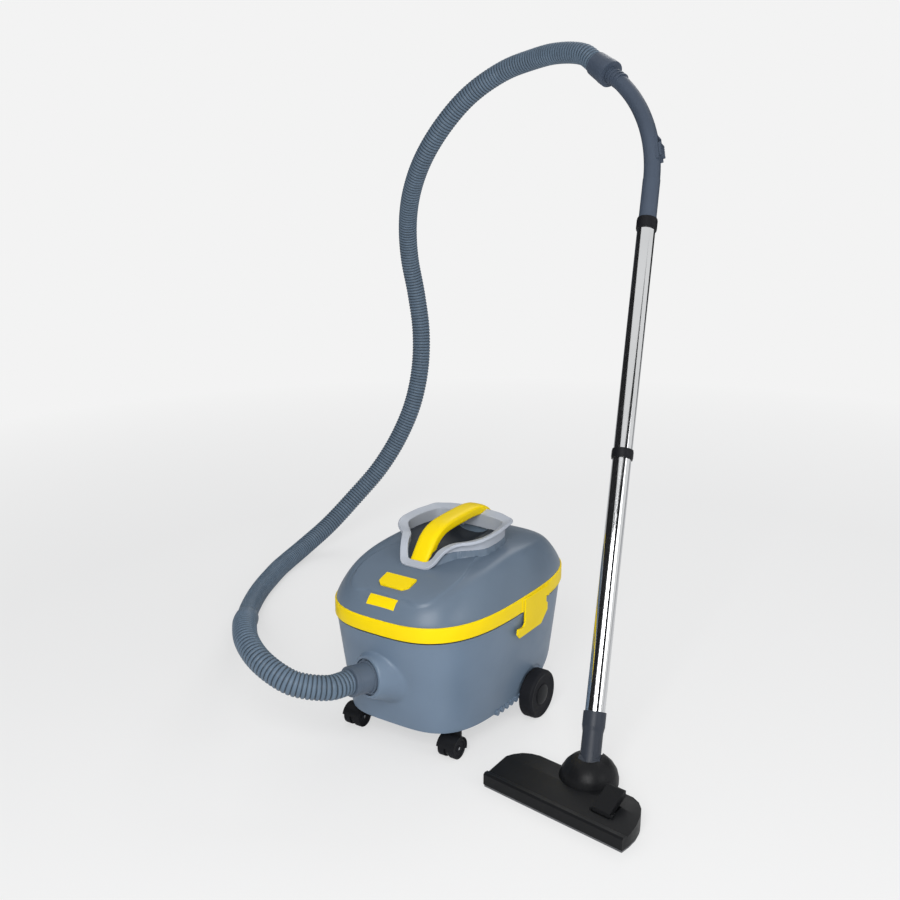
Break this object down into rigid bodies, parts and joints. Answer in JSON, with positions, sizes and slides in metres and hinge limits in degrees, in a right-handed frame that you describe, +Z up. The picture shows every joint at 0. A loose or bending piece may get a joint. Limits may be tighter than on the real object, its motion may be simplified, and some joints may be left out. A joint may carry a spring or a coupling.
{
  "type": "canister vacuum cleaner",
  "caption": "Wheeled canister vacuum cleaner with lift-off motor lid, side latches, carry handle, ribbed hose, bent handle, two-piece metal wand and swivel floor head.",
  "frame": {"origin": "floor point under the middle of the bounding box of canister, wand and floor head (hose left out)", "axes": "+Z up; -Y the way the canister's inlet and the floor head's front face; +X from the canister towards the floor head"},
  "size_m": [1.2524, 1.1393, 1.2272],
  "materials": {
    "tub_grey": "satin",
    "lid_grey": "satin",
    "yellow": "satin",
    "frame_grey": "satin",
    "hose_grey": "satin",
    "handle_grey": "satin",
    "black_plastic": "satin",
    "head_black": "satin",
    "chrome_tube": "polished",
    "steel": "satin",
    "wheel_rubber": "matte",
    "seal_rubber": "matte",
    "motor_case": "satin",
    "paper_bag": "matte",
    "filter_foam": "matte",
    "bag_card": "matte",
    "bristle": "matte"
  },
  "bodies": {
    "canister_and_wand": {"tub": "tub_grey", "rim_seal": "seal_rubber", "inlet_socket": "tub_grey", "bag_collar": "bag_card", "dust_bag": "paper_bag", "rear_axle": "steel", "caster_sockets": "steel", "hose_connector": "hose_grey", "hose": "hose_grey", "hose_cuff": "handle_grey", "bent_handle": "handle_grey", "ring_top": "black_plastic", "tube_upper": "chrome_tube", "ring_mid": "black_plastic", "tube_lower": "chrome_tube", "neck": "handle_grey"},
    "lid": {"lid_shell": "lid_grey", "rim_band": "yellow", "motor_plate": "black_plastic", "fan_housing": "black_plastic", "motor": "motor_case", "filter_cage": "black_plastic", "motor_filter": "filter_foam", "plate_screws": "steel", "exhaust_filter": "filter_foam", "cord_gland": "black_plastic", "cord_frame": "frame_grey", "carry_handle": "yellow", "switch_body": "black_plastic", "latch_pins": "steel"},
    "fan": {"fan": "motor_case"},
    "switch_button": {"switch_button": "yellow"},
    "latch_left": {"latch_left": "yellow"},
    "latch_right": {"latch_right": "yellow"},
    "wheel_left": {"wheel_left": "wheel_rubber", "hubcap_left": "black_plastic"},
    "wheel_right": {"wheel_right": "wheel_rubber", "hubcap_right": "black_plastic"},
    "caster_left": {"caster_fork_left": "black_plastic", "caster_axle_left": "steel"},
    "caster_right": {"caster_fork_right": "black_plastic", "caster_axle_right": "steel"},
    "caster_wheels_left": {"caster_wheels_left": "wheel_rubber"},
    "caster_wheels_right": {"caster_wheels_right": "wheel_rubber"},
    "air_slide": {"air_slide": "handle_grey"},
    "turret": {"turret": "head_black"},
    "floor_head": {"head_shell": "head_black", "sole_plate": "steel", "pedal_pin": "steel", "roller_pins": "steel"},
    "brush": {"brush_carrier": "black_plastic", "bristles": "bristle"},
    "pedal": {"pedal": "head_black"},
    "head_roller_left": {"head_roller_left": "black_plastic"},
    "head_roller_right": {"head_roller_right": "black_plastic"}
  },
  "joints": [
    {"name": "lid_lift", "type": "slide", "parent": "canister_and_wand", "child": "lid", "axis": [0, 0, 1], "range_m": [0, 0.25]},
    {"name": "fan_spin", "type": "hinge", "parent": "lid", "child": "fan", "pos_m": [-0.16345, -0.13891, 0.267], "axis": [0, 0, 1], "continuous": true},
    {"name": "switch_press", "type": "slide", "parent": "lid", "child": "switch_button", "axis": [0, 0.2924, -0.9563], "range_m": [0, 0.003], "stiffness_N_per_m": 300, "springref_m": -0.001},
    {"name": "latch_left_open", "type": "hinge", "parent": "lid", "child": "latch_left", "pos_m": [-0.32146, -0.11288, 0.256], "axis": [0.0236, 0.9997, 0], "range_deg": [0, 100]},
    {"name": "latch_right_open", "type": "hinge", "parent": "lid", "child": "latch_right", "pos_m": [-0.00544, -0.11288, 0.256], "axis": [0.0236, -0.9997, 0], "range_deg": [0, 100]},
    {"name": "wheel_left_spin", "type": "hinge", "parent": "canister_and_wand", "child": "wheel_left", "pos_m": [-0.31695, -0.09191, 0.046], "axis": [1, 0, 0], "continuous": true},
    {"name": "wheel_right_spin", "type": "hinge", "parent": "canister_and_wand", "child": "wheel_right", "pos_m": [-0.00995, -0.09191, 0.046], "axis": [1, 0, 0], "continuous": true},
    {"name": "caster_left_swivel", "type": "hinge", "parent": "canister_and_wand", "child": "caster_left", "pos_m": [-0.26845, -0.29191, 0.06], "axis": [0, 0, 1], "continuous": true},
    {"name": "caster_left_roll", "type": "hinge", "parent": "caster_left", "child": "caster_wheels_left", "pos_m": [-0.26845, -0.30691, 0.019], "axis": [1, 0, 0], "continuous": true},
    {"name": "caster_right_swivel", "type": "hinge", "parent": "canister_and_wand", "child": "caster_right", "pos_m": [-0.05845, -0.29191, 0.06], "axis": [0, 0, 1], "continuous": true},
    {"name": "caster_right_roll", "type": "hinge", "parent": "caster_right", "child": "caster_wheels_right", "pos_m": [-0.05845, -0.30691, 0.019], "axis": [1, 0, 0], "continuous": true},
    {"name": "air_slide_move", "type": "slide", "parent": "canister_and_wand", "child": "air_slide", "axis": [-0.3573, 0.4857, 0.7978], "range_m": [0, 0.012]},
    {"name": "neck_tilt", "type": "hinge", "parent": "canister_and_wand", "child": "turret", "pos_m": [0.19955, -0.27891, 0.052], "axis": [0.9455, 0.3256, 0], "range_deg": [-32, 43]},
    {"name": "head_swivel", "type": "hinge", "parent": "turret", "child": "floor_head", "pos_m": [0.19955, -0.27891, 0.022], "axis": [0, 0, 1], "range_deg": [-60, 60]},
    {"name": "pedal_press", "type": "hinge", "parent": "floor_head", "child": "pedal", "pos_m": [0.26594, -0.35915, 0.027], "axis": [-0.988, 0.1547, 0], "range_deg": [0, 12]},
    {"name": "brush_drop", "type": "slide", "parent": "floor_head", "child": "brush", "axis": [0, 0, -1], "range_m": [0, 0.005]},
    {"name": "head_roller_left_roll", "type": "hinge", "parent": "floor_head", "child": "head_roller_left", "pos_m": [0.11362, -0.28469, 0.008], "axis": [0.988, -0.1547, 0], "continuous": true},
    {"name": "head_roller_right_roll", "type": "hinge", "parent": "floor_head", "child": "head_roller_right", "pos_m": [0.2796, -0.31068, 0.008], "axis": [0.988, -0.1547, 0], "continuous": true}
  ],
  "couplings": [
    {"joint": "brush_drop", "follows": "pedal_press", "m_per_rad": 0.023873}
  ]
}
